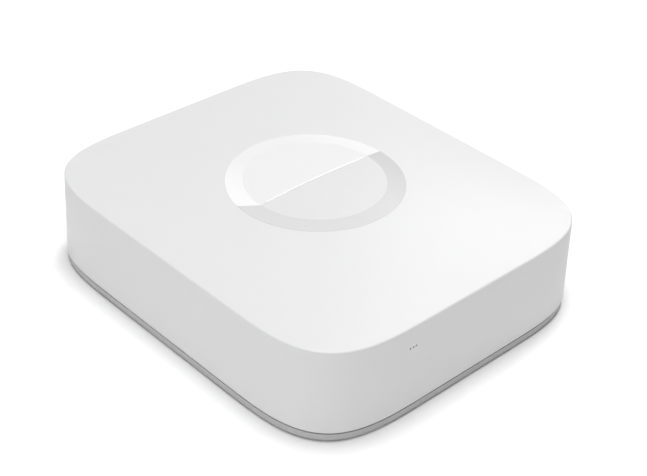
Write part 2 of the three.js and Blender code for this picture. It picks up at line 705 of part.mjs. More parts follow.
function makeIndicator() {
  const ledSize = [3.2, 1.6, 1.05];
  const ledY = board.minY + 2.8;
  add("status_led", onBoard([indicator.x, ledY], ledSize), finish.light);

  const width = 5;
  const topZ = board.topZ + 1.2;
  const wallY = -hub.depth / 2 + hub.wall + hub.draft;
  const ledFaceY = ledY - ledSize[1] / 2;
  const body = block(around(indicator.x, width), [wallY + gap, board.minY - gap], [indicator.z - 0.7, topZ]);
  const noseYs = [board.minY - gap - 0.5, ledFaceY - gap];
  const nose = block(around(indicator.x, width), noseYs, [board.topZ + 2 * solder, topZ]);
  const pins = indicatorXs.map((x) =>
    rodY(indicator.pinRadius, [x, indicator.z], [wallY - 1.2, wallY + gap + 0.5], 8),
  );
  add("light_pipe", join(body, nose, ...pins), finish.clear);
}

// ---------------------------------------------------------------- screws

// A pan head screw with a cross recess, its head's underside at height zero and its head upwards.
function screw({ head, headHeight, shank, length }) {
  const profile = [
    [0, -length],
    [shank * 0.5, -length],
    [shank, -length + 0.8],
    [shank, 0],
    [head, 0],
    [head, headHeight * 0.55],
    [head * 0.75, headHeight],
    [0, headHeight],
  ];
  const arm = [-head * 0.55, head * 0.55];
  const blade = [-0.3, 0.3];
  const deep = [headHeight * 0.45, headHeight + past];
  const upright = solid(turned(profile).rotateX(Math.PI / 2));
  return geometryOf(cut(upright, block(arm, blade, deep), block(blade, arm, deep)));
}

function makeScrews() {
  towerPlaces.forEach(([x, y], k) => {
    const mesh = add(`chassis_screw_${k + 1}`, screw(chassisScrew), finish.screw);
    mesh.position.set(x, y, tower.headTopZ - gap);
    mesh.rotation.x = Math.PI;
  });
  standPlaces.forEach(([x, y], k) => {
    const mesh = add(`board_screw_${k + 1}`, screw(boardScrew), finish.screw);
    mesh.position.set(x, y, board.topZ + 2 * solder);
  });
}

// ---------------------------------------------------------------- assembly

makeShell();
makeBadge();
makeCover();
makeChassis();
makeCells();
makeContacts();
makeBoard();
makeCoolingStack();
makeChips();
makeRadioShield("left", -1);
makeRadioShield("right", 1);
makeAntenna("left", -1);
makeAntenna("right", 1);
makeCoax("left", -1);
makeCoax("right", 1);
makeEthernetJack();
makeUsbStack();
makePowerJack();
makeResetSwitch();
makeIndicator();
makeScrews();

export default root;
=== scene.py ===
import math
from contextlib import contextmanager

import bmesh
import bpy
import numpy as np
from mathutils import Matrix, Vector


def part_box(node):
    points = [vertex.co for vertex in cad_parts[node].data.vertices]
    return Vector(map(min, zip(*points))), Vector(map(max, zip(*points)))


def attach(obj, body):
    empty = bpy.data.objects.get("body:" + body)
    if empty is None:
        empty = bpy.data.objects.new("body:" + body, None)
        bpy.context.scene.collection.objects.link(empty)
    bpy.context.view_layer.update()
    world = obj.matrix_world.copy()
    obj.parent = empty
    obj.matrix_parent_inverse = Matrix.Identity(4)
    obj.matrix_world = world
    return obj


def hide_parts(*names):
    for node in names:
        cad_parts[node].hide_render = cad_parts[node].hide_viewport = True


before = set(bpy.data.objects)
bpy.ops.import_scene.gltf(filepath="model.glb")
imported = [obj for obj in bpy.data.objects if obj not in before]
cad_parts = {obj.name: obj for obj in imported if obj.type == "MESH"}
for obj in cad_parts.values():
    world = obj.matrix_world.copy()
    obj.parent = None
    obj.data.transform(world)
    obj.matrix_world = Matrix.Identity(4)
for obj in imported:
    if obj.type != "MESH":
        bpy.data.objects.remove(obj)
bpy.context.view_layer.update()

# ---------------------------------------------------------------- sizes, in millimetres

MM = 0.001  # one millimetre in metres
COINCIDENT = 0.0001  # points closer than this are one point
PAST = 1.0  # how far a cutting body runs past the face that it cuts


def span(node):
    """The lowest and highest corner of a CAD node, in millimetres."""
    low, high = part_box(node)
    return np.array(low) / MM, np.array(high) / MM


def middle_of(node):
    """The middle of a CAD node's box, in millimetres."""
    low, high = span(node)
    return (low + high) / 2


shell_low, shell_high = span("top_shell")
WIDTH, DEPTH = (shell_high - shell_low)[:2]
SKIRT_Z = shell_low[2]  # the shell's lower edge
RIM_Z = 28.3  # where the walls meet the crown
CROWN = 4.5  # how far the crown rises above the rim
DRAFT = 0.65  # how far the walls lean in between the lower edge and the rim
WALL = 2.0
EDGE = 0.45  # rounding where the walls meet the crown
CORNER_REACH = 40.0  # how far a rounded corner runs along each side
CORNER_POWER = 3.86  # the corners are superellipses of this power
CORNER_POINTS = 44
SIDE_STEPS = (12, 20)  # divisions of the straight part of a short and a long side

POCKET_RADIUS = 25.5  # the pocket in the crown that holds the badge
POCKET_DEPTH = 0.9
RING_INNER = 20.3
INLAY = 0.6  # thickness of the badge's ring and disc
SEAM = 0.008  # between the badge's pieces
SLANT = math.tan(math.radians(40))  # of the ring's left joint
LINE_WIDTH = 0.7
LINE_PROUD = 0.15

PORT_GAP = 0.3  # round each socket in the back wall
RESET_HOLE = 1.3
PIN_HOLE = 0.32
PIN_PITCH = 1.0
PIN_Z = 21.8
TOWERS = [(side_x * 42, side_y * 47) for side_x in (-1, 1) for side_y in (-1, 1)]  # for screws

FOOT_GAP = 0.15
CELL_RADIUS = 7.1
CELL_BODY = 49.2  # without the nub
CELL_LENGTH = 50.5
CELL_Z = 11.45
CELL_XS = (-22.8, -7.6, 7.6, 22.8)
BAY_FRONT, BAY_BACK = -39.9, 17.9  # where the battery bay's contacts stand
CONTACT_THICK = 0.5


# ---------------------------------------------------------------- making meshes


def mesh_object(name, points, faces):
    """An object from points in millimetres."""
    mesh = bpy.data.meshes.new(name)
    mesh.from_pydata((np.asarray(points, float) * MM).tolist(), [], faces)
    obj = bpy.data.objects.new(name, mesh)
    bpy.context.scene.collection.objects.link(obj)
    return obj


@contextmanager
def editing(obj):
    """Opens an object's mesh for changes and writes it back."""
    shape = bmesh.new()
    shape.from_mesh(obj.data)
    yield shape
    shape.to_mesh(obj.data)
    shape.free()


def tidy_normals(obj):
    """Turns every face of a closed body outwards."""
    with editing(obj) as shape:
        bmesh.ops.recalc_face_normals(shape, faces=shape.faces)
        if shape.calc_volume(signed=True) < 0:
            bmesh.ops.reverse_faces(shape, faces=shape.faces)
    return obj


def close_up(obj):
    """Joins points that coincide, as at a turned body's poles, so that each face has an area."""
    with editing(obj) as shape:
        bmesh.ops.remove_doubles(shape, verts=shape.verts, dist=COINCIDENT * MM)


def round_edges(obj, edge, segments=2, degrees=40):
    """Rounds every edge that is sharper than the given angle."""
    with editing(obj) as shape:
        sharp = [e for e in shape.edges
                 if len(e.link_faces) == 2 and e.calc_face_angle(0) > math.radians(degrees)]
        bmesh.ops.bevel(shape, geom=sharp, offset=edge * MM, segments=segments, profile=0.5,
                        affect="EDGES", clamp_overlap=True)
    return obj


def apply_modifiers(obj):
    bpy.context.view_layer.update()
    made = obj.evaluated_get(bpy.context.evaluated_depsgraph_get())
    mesh = bpy.data.meshes.new_from_object(made)
    obj.modifiers.clear()
    obj.data = mesh
    return obj


def combine(obj, others, operation):
    """Cuts other bodies out of obj, or joins them to it, and removes them."""
    for other in others:
        step = obj.modifiers.new(operation, "BOOLEAN")
        step.operation = operation
        step.solver = "EXACT"
        step.object = other
    apply_modifiers(obj)
    for other in others:
        bpy.data.objects.remove(other)
    return obj


def smooth(obj, degrees=32):
    """Smooth shading that stays crisp at edges sharper than the given angle."""
    close_up(obj)
    obj.data.shade_smooth()
    obj.data.set_sharp_from_angle(angle=math.radians(degrees))
    weighted = obj.modifiers.new("weighted", "WEIGHTED_NORMAL")
    weighted.keep_sharp = True
    return apply_modifiers(obj)


def full_turn(count):
    return np.linspace(0, 2 * math.pi, count, endpoint=False)


def circle(radius, turns):
    return radius * np.column_stack([np.cos(turns), np.sin(turns)])


def loft(name, rings, caps="fan"):
    """A closed body through a chain of rings with equal point counts.

    Each end is closed with a fan or with one face.
    """
    rings = [np.asarray(ring, float) for ring in rings]
    count = len(rings[0])
    points = np.concatenate(rings).tolist()
    faces = []
    for level in range(len(rings) - 1):
        low = level * count
        for k in range(count):
            after = (k + 1) % count
            faces.append((low + k, low + after, low + count + after, low + count + k))
    last = (len(rings) - 1) * count
    if caps == "fan":
        points += [rings[0].mean(0).tolist(), rings[-1].mean(0).tolist()]
        start, end = last + count, last + count + 1
        faces += [(start, (k + 1) % count, k) for k in range(count)]
        faces += [(end, last + k, last + (k + 1) % count) for k in range(count)]
    else:
        faces.append(tuple(range(count))[::-1])
        faces.append(tuple(range(last, last + count)))
    return mesh_object(name, points, faces)


def turned(name, profile, centre, axis="Z", flip=False, sides=64):
    """A turned body from a profile of radius and distance along its axis."""
    turns = full_turn(sides)
    sign = -1 if flip else 1
    rings = []
    for radius, along in profile:
        flat = circle(max(radius, COINCIDENT), turns)
        column = np.full(sides, sign * along)
        order = {
            "Z": (flat[:, 0], flat[:, 1], column),
            "Y": (flat[:, 0], column, flat[:, 1]),
        }[axis]
        rings.append(np.column_stack(order) + centre)
    return tidy_normals(loft(name, rings))


def box_body(name, low, high, edge=0.0):
    """A box, with rounded edges if edge is given."""
    floor_picks = ((0, 0), (1, 0), (1, 1), (0, 1))
    picks = [(*pick, level) for level in (0, 1) for pick in floor_picks]
    corners = [[(low, high)[k][axis] for axis, k in enumerate(pick)] for pick in picks]
    faces = [(3, 2, 1, 0), (4, 5, 6, 7), (0, 1, 5, 4), (1, 2, 6, 5), (2, 3, 7, 6), (3, 0, 4, 7)]
    obj = mesh_object(name, corners, faces)
    return round_edges(obj, edge) if edge else obj


def tube(name, points, radius, sides=10):
    """A round wire along a chain of points, closed at both ends."""
    points = np.asarray(points, float)
    along = np.gradient(points, axis=0)
    along /= np.linalg.norm(along, axis=1)[:, None]
    across = np.cross(along[0], [0.3, 0.5, 0.8])  # any direction that isn't the wire's own
    turns = full_turn(sides)
    rings = []
    for place, forward in zip(points, along):
        across = across - forward * (across @ forward)
        across /= np.linalg.norm(across)
        beside = np.cross(forward, across)
        round_wire = np.outer(np.cos(turns), across) + np.outer(np.sin(turns), beside)
        rings.append(place + radius * round_wire)
    return tidy_normals(loft(name, rings, caps="face"))


def through_points(points, steps):
    """A smooth curve through a few points."""
    points = np.asarray(points, float)
    padded = np.vstack([2 * points[0] - points[1], points, 2 * points[-1] - points[-2]])
    out = []
    for at in np.linspace(0, len(points) - 1, steps):
        k = min(int(at), len(points) - 2)
        t = at - k
        p0, p1, p2, p3 = padded[k:k + 4]
        out.append(0.5 * (2 * p1 + (p2 - p0) * t + (2 * p0 - 5 * p1 + 4 * p2 - p3) * t**2
                          + (3 * p1 - p0 - 3 * p2 + p3) * t**3))
    return np.array(out)


def finish_piece(obj, body, slot, material, *nodes):
    """Gives a piece its material and body, and hides the CAD nodes that it stands for. The slot is
    not used.
    """
    obj.data.materials.clear()
    obj.data.materials.append(material)
    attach(obj, body)
    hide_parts(*nodes)
    return obj


def soften(node, body, slot, material, edge=0.15, segments=2, degrees=35, trim=None):
    """Gives a CAD node the small rounded edges that moulding, pressing or cutting leaves."""
    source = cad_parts[node]
    obj = bpy.data.objects.new("hub_" + node, source.data.copy())
    bpy.context.scene.collection.objects.link(obj)
    with editing(obj) as shape:
        bmesh.ops.remove_doubles(shape, verts=shape.verts, dist=10 * COINCIDENT * MM)
        bmesh.ops.dissolve_limit(shape, angle_limit=math.radians(0.5), verts=shape.verts,
                                 edges=shape.edges)
    round_edges(obj, edge, segments, degrees)
    if trim:
        combine(obj, trim, "DIFFERENCE")
    smooth(obj, degrees)
    return finish_piece(obj, body, slot, material, node)


# ---------------------------------------------------------------- the hub's outline and crown


def corner_angles():
    """Angles that space points evenly along a superellipse corner."""
    fine = np.linspace(0, math.pi / 2, 6001)
    x = np.cos(fine) ** (2 / CORNER_POWER)
    y = np.sin(fine) ** (2 / CORNER_POWER)
    along = np.concatenate([[0], np.cumsum(np.hypot(np.diff(x), np.diff(y)))])
    return np.interp(np.linspace(0, along[-1], CORNER_POINTS), along, fine)


ANGLES = corner_angles()


def outline(inset):
    """The hub's rounded rectangle, drawn in by inset, anticlockwise from the +X side."""
    half = np.array([WIDTH, DEPTH]) / 2 - inset
    reach = CORNER_REACH - inset
    rise = np.stack([np.cos(ANGLES), np.sin(ANGLES)], 1) ** (2 / CORNER_POWER)
    corner = half - reach + reach * rise
    quarters = [
        corner,
        corner[::-1] * [-1, 1],
        corner * [-1, -1],
        corner[::-1] * [1, -1],
    ]
    points = []
    for k, quarter in enumerate(quarters):
        following = quarters[(k + 1) % 4][0]
        between = np.linspace(quarter[-1], following, SIDE_STEPS[k % 2] + 1)[1:-1]
        points += [quarter, between]
    return np.concatenate(points)


def crown(points):
    """Height of the crowned top above the rim at each point."""
    half = np.array([WIDTH, DEPTH]) / 2 - DRAFT
    share = np.clip(1 - (np.asarray(points) / half) ** 2, 0, None)
    return CROWN * share[:, 0] * share[:, 1]


def wall_inset(z):
    """How far the outer wall leans in at height z."""
    return DRAFT * (z - SKIRT_Z) / (RIM_Z - EDGE - SKIRT_Z)


def wall_y(x, z):
    """How far out the front and back walls' faces stand, at a given x and height."""
    inset = wall_inset(z)
    reach = CORNER_REACH - inset
    share = np.clip((np.abs(x) - (WIDTH / 2 - CORNER_REACH)) / reach, 0, 1)
    return DEPTH / 2 - CORNER_REACH + reach * (1 - share**CORNER_POWER) ** (1 / CORNER_POWER)


def at_height(points, z):
    return np.column_stack([points, np.broadcast_to(z, len(points))])


def on_crown(points, drop=0.0):
    return at_height(points, RIM_Z - drop + crown(points))


# ---------------------------------------------------------------- materials


class Look:
    """A material under construction: its node tree and its shader."""

    def __init__(self, name):
        self.material = bpy.data.materials.new(name)
        self.material.use_nodes = True
        self.tree = self.material.node_tree
        self.shader = self.tree.nodes["Principled BSDF"]
        self.place = self.node("ShaderNodeTexCoord").outputs["Object"]

    def node(self, kind, inputs=None, **settings):
        """A new node. Each input is another node's output, which is linked, or a fixed value."""
        node = self.tree.nodes.new(kind)
        for key, value in settings.items():
            setattr(node, key, value)
        for key, value in (inputs or {}).items():
            self.feed(node.inputs[key], value)
        return node

    def feed(self, socket, value):
        if isinstance(value, bpy.types.NodeSocket):
            self.tree.links.new(value, socket)
        else:
            socket.default_value = value

    def along(self, axis):
        """The place along one axis, in metres."""
        return self.node("ShaderNodeSeparateXYZ", {"Vector": self.place}).outputs[axis]

    def noise(self, size, detail=2.0, roughness=0.5):
        """Noise with features about size millimetres across."""
        inputs = {"Vector": self.place, "Scale": 1 / (size * MM), "Detail": detail,
                  "Roughness": roughness}
        return self.node("ShaderNodeTexNoise", inputs).outputs["Fac"]

    def remap(self, value, low, high, to_low, to_high):
        inputs = {"Value": value, "From Min": low, "From Max": high, "To Min": to_low,
                  "To Max": to_high}
        return self.node("ShaderNodeMapRange", inputs).outputs["Result"]

    def times(self, first, second):
        return self.node("ShaderNodeMath", {0: first, 1: second}, operation="MULTIPLY").outputs[0]

    def mix(self, amount, first, second):
        """A colour between two colours."""
        node = self.node("ShaderNodeMix", data_type="RGBA")
        for key, value in (("Factor", amount), ("A", first), ("B", second)):
            self.feed(next(s for s in node.inputs if s.name == key and s.enabled), value)
        return next(s for s in node.outputs if s.enabled)

    def bump(self, height, distance):
        inputs = {"Height": height, "Distance": distance * MM, "Strength": 1.0}
        self.into("Normal", self.node("ShaderNodeBump", inputs).outputs["Normal"])

    def into(self, socket, value):
        """Links an output, or sets a fixed value, on one of the shader's own sockets."""
        self.feed(self.shader.inputs[socket], value)

    def linked(self, socket):
        """What is linked to one of the shader's sockets."""
        return self.shader.inputs[socket].links[0].from_socket


def rgb(value, shade=1.0):
    """A colour from three numbers, or a grey from one."""
    value = (value,) * 3 if isinstance(value, (int, float)) else value
    return tuple(min(1.0, c * shade) for c in value) + (1.0,)


def surface(name, colour, roughness, grain=0.3, depth=0.01, mottle=0.015, wear=0.06, metallic=0.0):
    """A moulded, pressed or painted surface.

    It has a fine grain, uneven gloss, faint mottling and lighter worn edges. Grain and depth are
    the grain's width and height in millimetres; mottle and wear are shares of the colour.
    """
    look = Look(name)
    look.into("Metallic", metallic)
    coarse = look.remap(look.noise(9.0, 3.0), 0.3, 0.7, 0, 1)
    tone = look.mix(coarse, rgb(colour, 1 - mottle), rgb(colour, 1 + mottle))
    edge = look.node("ShaderNodeNewGeometry").outputs["Pointiness"]
    worn = look.remap(edge, 0.52, 0.6, 0, 1)  # an even face has a pointiness of 0.5
    look.into("Base Color", look.mix(worn, tone, rgb(colour, 1 + wear)))
    fine = look.noise(grain, 4.0, 0.6)
    look.into("Roughness", look.remap(fine, 0.3, 0.7, roughness * 0.9, roughness * 1.1))
    look.bump(fine, depth)
    return look


# ---------------------------------------------------------------- shell


def wall_cutter(name, loop, side, chamfer):
    """A body that cuts a hole through the back (+1) or front (-1) wall, with a chamfered mouth.

    The loop is the hole's outline in X and Z.
    """
    loop = np.asarray(loop, float)
    outward = loop - loop.mean(0)
    outward /= np.linalg.norm(outward, axis=1)[:, None]

    def ring(grow, proud):
        flat = loop + outward * grow
        y = side * (wall_y(loop[:, 0], loop[:, 1]) + proud)
        return np.column_stack([flat[:, 0], y, flat[:, 1]])

    inner = ring(0, 0)
    inner[:, 1] = side * (DEPTH / 2 - (WALL + DRAFT + PAST))
    rings = [inner, ring(0, -chamfer), ring(chamfer + PAST, PAST)]
    return tidy_normals(loft(name, rings, caps="face"))


def rounded_rectangle(low, high, radius, steps=6):
    """Points in X and Z round a rectangle with rounded corners."""
    corners = [
        (high[0] - radius, high[1] - radius, 0),
        (low[0] + radius, high[1] - radius, 90),
        (low[0] + radius, low[1] + radius, 180),
        (high[0] - radius, low[1] + radius, 270),
    ]
    points = []
    for x, z, start in corners:
        turns = np.radians(np.linspace(start, start + 90, steps + 1))
        points.append(circle(radius, turns) + [x, z])
    return np.concatenate(points)


def shell_cutters():
    cutters = []
    for node in ("ethernet_shield", "usb_shield", "power_socket"):
        low, high = span(node)
        loop = rounded_rectangle(low[[0, 2]] - PORT_GAP, high[[0, 2]] + PORT_GAP, radius=0.6)
        cutters.append(wall_cutter("cut_" + node, loop, 1, chamfer=0.3))
    loop = circle(RESET_HOLE, full_turn(48)) + middle_of("reset_button")[[0, 2]]
    cutters.append(wall_cutter("cut_reset", loop, 1, chamfer=0.25))
    for k in (-1, 0, 1):
        place = (middle_of("light_pipe")[0] + k * PIN_PITCH, PIN_Z)
        loop = circle(PIN_HOLE, full_turn(20)) + place
        cutters.append(wall_cutter(f"cut_pin_{k}", loop, -1, chamfer=0.05))
    return cutters


def shell_rings():
    """Rings from the middle of the ceiling inside to the middle of the badge's pocket outside.

    They run down the inner wall, round the lip at the lower edge and up the outer wall.
    """
    inner_round = 1.0
    inner_edge = outline(DRAFT + WALL + inner_round)
    rings = [on_crown(inner_edge * share, WALL) for share in (0.05, 0.3, 0.5, 0.7, 0.85, 0.95)]
    for turn in np.radians(range(90, -1, -15)):
        points = outline(DRAFT + WALL + inner_round - inner_round * math.cos(turn))
        z = RIM_Z - WALL - inner_round + inner_round * math.sin(turn)
        rings.append(at_height(points, z + crown(points)))

    lip = 0.25
    for z in np.linspace(RIM_Z - WALL - 2.0, SKIRT_Z + lip, 9):
        rings.append(at_height(outline(WALL + wall_inset(z)), z))
    for degrees in range(15, 181, 15):
        turn = math.radians(degrees)
        middle = WALL - lip if degrees <= 90 else lip
        inset = middle + lip * math.cos(turn)
        rings.append(at_height(outline(inset), SKIRT_Z + lip - lip * math.sin(turn)))
    for z in np.linspace(SKIRT_Z + 1.0, RIM_Z - EDGE, 22):
        rings.append(at_height(outline(wall_inset(z)), z))

    for turn in np.radians(range(0, 91, 10)):
        points = outline(DRAFT + EDGE * (1 - math.cos(turn)))
        rings.append(at_height(points, RIM_Z - EDGE * (1 - math.sin(turn)) + crown(points)))
    edge = outline(DRAFT + EDGE)
    turns = np.arctan2(edge[:, 1], edge[:, 0])
    pocket = POCKET_RADIUS
    for share in np.linspace(0, 1, 22)[1:]:
        rings.append(on_crown(edge * (1 - share) + circle(pocket + 0.08, turns) * share))
    section = (
        (pocket + 0.02, 0.02),
        (pocket, 0.08),
        (pocket, POCKET_DEPTH - 0.1),
        (pocket - 0.1, POCKET_DEPTH),
        (pocket * 0.8, POCKET_DEPTH),
        (pocket * 0.5, POCKET_DEPTH),
        (pocket * 0.1, POCKET_DEPTH),
    )
    return rings + [on_crown(circle(radius, turns), drop) for radius, drop in section]


def make_shell():
    shell = loft("hub_top_shell", shell_rings())
    foot, top = 7.3, RIM_Z - WALL / 2  # of the posts that take the chassis screws
    post = [(0, foot), (3.2, foot), (3.4, foot + 0.2), (3.4, top), (0, top)]
    bore = [(0, foot - 1.3), (1.5, foot - 1.3), (1.5, 17), (0, 17)]
    posts = [turned("post", post, (x, y, 0)) for x, y in TOWERS]
    bores = [turned("bore", bore, (x, y, 0), sides=24) for x, y in TOWERS]
    combine(shell, posts, "UNION")
    combine(shell, bores + shell_cutters(), "DIFFERENCE")
    smooth(shell)
    look = surface("shell_white", (0.71, 0.71, 0.714), 0.42, grain=0.16, depth=0.0035,
                   mottle=0.004, wear=0.02)
    finish_piece(shell, "housing", "shell_white", look.material, "top_shell")


# ---------------------------------------------------------------- badge


def inlay_surface(name, colour, roughness):
    """A gloss surface that mirrors a lamp only faintly."""
    look = surface(name, colour, roughness, grain=0.5, depth=0.001, mottle=0.003, wear=0.0)
    look.into("Specular IOR Level", 0.25)
    return look


def ring_look(name, left, middle, right, roughness):
    """An inlay with painted sheen and shade, whose tone runs along the ring from the middle of its
    half to its two ends.
    """
    look = inlay_surface(name, middle, roughness)
    across = look.along("X")
    near, far = 8 * MM, 23 * MM
    tone = look.mix(look.remap(across, -near, -far, 0, 1), rgb(middle), rgb(left))
    look.into("Base Color", look.mix(look.remap(across, near, far, 0, 1), tone, rgb(right)))
    return look.material


def disc_look():
    """An inlay with painted light and shade: its back half is a touch lighter than its front half.
    """
    look = inlay_surface("badge_disc", 0.75, 0.34)
    share = look.remap(look.along("Y"), -0.1 * MM, 0.1 * MM, 0, 1)
    look.into("Base Color", look.mix(share, rgb(0.695), rgb(0.765)))
    return look.material


def slant_turn(radius, offset):
    """The angle at which the ring's slanted left joint meets a circle of this radius."""
    near = RING_INNER + offset * SLANT
    root = near**2 - (1 + SLANT**2) * (RING_INNER**2 + offset**2 - radius**2)
    along = (math.sqrt(max(0.0, root)) - near) / (1 + SLANT**2)
    return math.atan2(offset + along * SLANT, -RING_INNER - along) % (2 * math.pi)


def inlay_section(near, far, edge=0.015):
    """A cross-section of an inlay as radii and depths below the crown, with rounded upper edges."""
    middle = np.linspace(near + edge, far - edge, 8)
    radii = [near, near, near + 0.3 * edge, *middle, far - 0.3 * edge, far, far]
    drops = [INLAY, edge, 0.3 * edge, *([0] * len(middle)), 0.3 * edge, edge, INLAY]
    return np.array(radii), np.array(drops)


def ring_half(name, side):
    """Half of the badge's ring: side is +1 for the back half and -1 for the front half."""
    radii, drops = inlay_section(RING_INNER, POCKET_RADIUS - SEAM)
    right = np.arcsin(SEAM / 2 / radii)
    left = np.array([slant_turn(radius, side * SEAM / 2) for radius in radii])
    starts, ends = (right, left) if side > 0 else (left, 2 * math.pi - right)
    rings = []
    for share in np.linspace(0, 1, 97):
        turns = starts + (ends - starts) * share
        flat = radii[:, None] * np.column_stack([np.cos(turns), np.sin(turns)])
        rings.append(np.column_stack([flat, RIM_Z + crown(flat) - drops]))
    return tidy_normals(loft(name, rings, caps="face"))


def line_body(name, grow, drop):
    """The raised line across the disc, or with grow the groove that it lies in."""
    low, high = span("badge_line")
    half_length = (high - low)[0] / 2
    half = LINE_WIDTH / 2 + grow
    turns = np.linspace(0, math.pi, 13)
    ys = np.concatenate([half * np.cos(turns), [-half, half]])
    heights = np.concatenate([LINE_PROUD * np.sin(turns) + grow, [-drop, -drop]])

    ends = np.linspace(0, math.pi / 2, 7)  # the line's ends are round
    inwards = half * (1 - np.sin(ends))
    straight = np.linspace(-half_length + half, half_length - half, 41)[1:-1]
    xs = np.concatenate([inwards - half_length, straight, (half_length - inwards)[::-1]])
    narrow = np.concatenate([np.cos(ends[::-1]), np.ones(len(straight)), np.cos(ends)])
    rings = []
    for x, scale in zip(xs, np.clip(narrow, 0.05, 1)):
        flat = np.column_stack([np.full(len(ys), x), ys * scale])
        rings.append(np.column_stack([flat, RIM_Z + crown(flat) + heights]))
    return tidy_normals(loft(name, rings, caps="face"))


def make_badge():
    back = smooth(ring_half("hub_badge_ring_back", 1))
    # painted highlight: the back half is a lit copy of the front half's inlay, lightest at its two
    # ends
    look = ring_look("ring_bright", left=0.85, middle=0.785, right=0.835, roughness=0.25)
    finish_piece(back, "housing", "ring_bright", look, "badge_ring_back")
    front = smooth(ring_half("hub_badge_ring_front", -1))
    # painted shade: the front half is a shaded copy of the back half's inlay, darkest at its right
    # end
    look = ring_look("ring_shaded", left=0.64, middle=0.635, right=0.575, roughness=0.35)
    finish_piece(front, "housing", "ring_shaded", look, "badge_ring_front")

    turns = full_turn(128)
    near = 1.0  # inside this radius a fan closes the disc above and below
    radii, drops = inlay_section(near, RING_INNER - SEAM)
    section = list(zip(radii, drops))[:2:-1]  # from the outer edge inwards
    rings = [on_crown(circle(near, turns), INLAY)]
    rings += [on_crown(circle(radius, turns), drop) for radius, drop in section]
    disc = tidy_normals(loft("hub_badge_disc", rings))
    combine(disc, [line_body("groove", grow=0.03, drop=0.2)], "DIFFERENCE")
    finish_piece(smooth(disc), "housing", "badge_disc", disc_look(), "badge_disc")
    line = smooth(line_body("hub_badge_line", grow=0.0, drop=0.18))
    look = surface("badge_line", 0.9, 0.2, grain=0.5, depth=0.001, mottle=0.0, wear=0.0)
    finish_piece(line, "housing", "badge_line", look.material, "badge_line")


# ---------------------------------------------------------------- base cover


def cover_hooks(top):
    """The four hooks that hold the cover in the chassis floor, each a stem with a lip inwards."""
    outer, stem, tip, half, high = 46.2, 44.6, 42.2, 4, 6.4
    shy = 0.02  # keeps a lip's faces off its stem's faces
    made = []
    for side in (-1, 1):
        for y in (28, -16):
            low_x, high_x = sorted((side * stem, side * outer))
            made.append(box_body("stem", (low_x, y - half, top - 0.4),
                                 (high_x, y + half, high), 0.15))
            low_x, high_x = sorted((side * tip, side * outer))
            made.append(box_body("lip", (low_x, y - half + shy, high - 1.2),
                                 (high_x - side * shy, y + half - shy, high - shy), 0.2))
    return made


def cover_grips(bottom):
    """Five raised bars under the cover that shorten towards its middle, for a thumb."""
    made = []
    for k in range(5):
        y, half = -30 + k * 2.4, 11 - 2 * k
        made.append(box_body("grip", (-half, y, bottom - 0.25), (half, y + 1, bottom + 0.3), 0.2))
    return made


def make_cover():
    inset = WIDTH / 2 - span("base_cover")[1][0]
    bottom, top, edge = 0.4, 2.4, 0.3
    rings = []
    for turn in np.radians(range(0, 91, 15)):
        points = outline(inset + edge * (1 - math.sin(turn)))
        rings.append(at_height(points, bottom + edge * (1 - math.cos(turn))))
    for more, z in ((0, 1.2), (0, 1.8), (0, top - 0.12), (0.04, top - 0.04), (0.12, top)):
        rings.append(at_height(outline(inset + more), z))
    plate = loft("hub_base_cover", rings, caps="face")

    pockets = []
    for k in range(1, 5):
        low, high = span(f"rubber_foot_{k}")
        radius = (high - low)[0] / 2 + FOOT_GAP
        depth = high[2] + FOOT_GAP
        profile = [(0, -PAST), (radius, -PAST), (radius, depth), (0, depth)]
        pockets.append(turned(f"pocket_{k}", profile, [*((low + high) / 2)[:2], 0]))
    combine(plate, pockets, "DIFFERENCE")
    combine(plate, cover_hooks(top) + cover_grips(bottom), "UNION")
    smooth(plate)
    look = surface("cover_grey", 0.50, 0.55, grain=0.22, depth=0.012, mottle=0.015, wear=0.1)
    finish_piece(plate, "battery_cover", "cover_grey", look.material, "base_cover")


def make_feet():
    look = surface("rubber", 0.14, 0.75, grain=0.35, depth=0.03, mottle=0.05, wear=0.25)
    for k in range(1, 5):
        low, high = span(f"rubber_foot_{k}")
        radius, top = (high - low)[0] / 2, high[2]
        profile = [(0, 0.12), (1.6, 0.12), (1.8, 0), (radius - 0.35, 0), (radius - 0.1, 0.1),
                   (radius, 0.35), (radius, top), (0, top)]
        foot = turned(f"hub_rubber_foot_{k}", profile, [*((low + high) / 2)[:2], 0])
        finish_piece(smooth(foot), "battery_cover", "rubber", look.material, f"rubber_foot_{k}")


# ---------------------------------------------------------------- cells and contacts


def cell_look(name, y_flat, y_wrap):
    """Printed wrap in the middle of a cell, and bare steel at its flat end and round its nub."""
    look = surface(name, (0.035, 0.06, 0.075), 0.32, grain=1.2, depth=0.004, mottle=0.08, wear=0.3)
    along = look.along("Y")
    low, high = sorted((y_flat, y_wrap))
    after = look.remap(along, (low - 0.02) * MM, (low + 0.02) * MM, 0, 1)
    before = look.remap(along, (high - 0.02) * MM, (high + 0.02) * MM, 1, 0)
    wrap = look.times(after, before)
    look.into("Base Color", look.mix(wrap, rgb((0.62, 0.62, 0.60)), look.linked("Base Color")))
    look.into("Metallic", look.remap(wrap, 0, 1, 1, 0))
    return look.material


